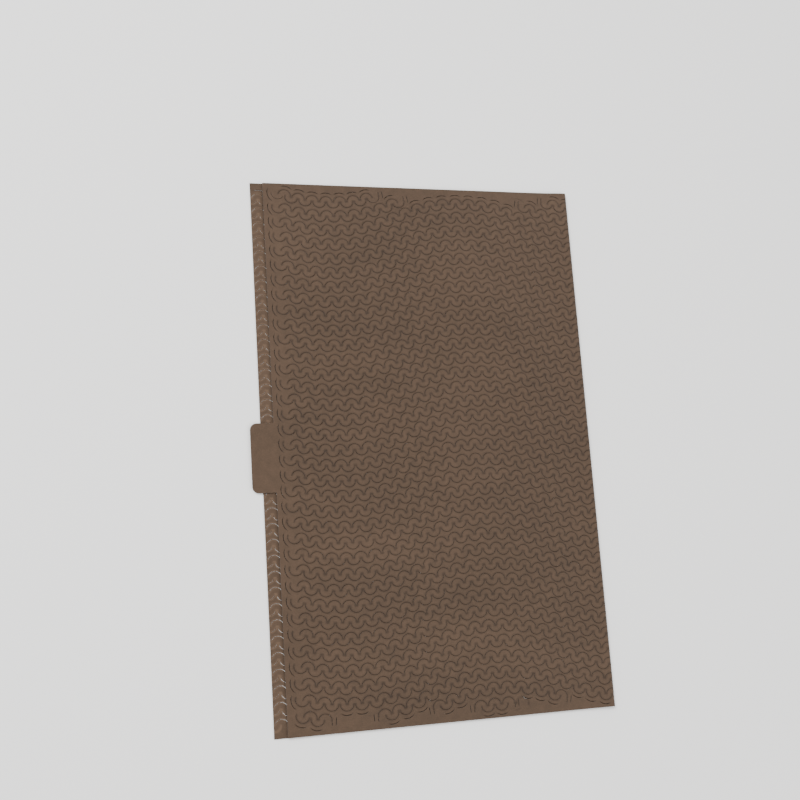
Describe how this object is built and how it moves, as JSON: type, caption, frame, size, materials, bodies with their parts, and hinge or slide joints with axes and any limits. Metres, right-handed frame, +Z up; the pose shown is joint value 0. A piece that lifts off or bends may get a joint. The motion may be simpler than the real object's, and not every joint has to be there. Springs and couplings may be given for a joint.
{
  "type": "folded camouflage net",
  "caption": "Scale-model camouflage net: a thin brown sheet cut with rows of fine wavy slits, folded in half and lying flat, with a small tab.",
  "frame": {"origin": "middle of the underside of the object's bounding box, on the surface that the folded net lies on", "axes": "+Y along the fold, which is the sheet's length, +X from the free edges to the fold, +Z up through both leaves"},
  "size_m": [0.1048, 0.16, 0.0032],
  "materials": {
    "net_cloth": "matte"
  },
  "bodies": {
    "root": {"net_sheet": "net_cloth"}
  },
  "joints": []
}
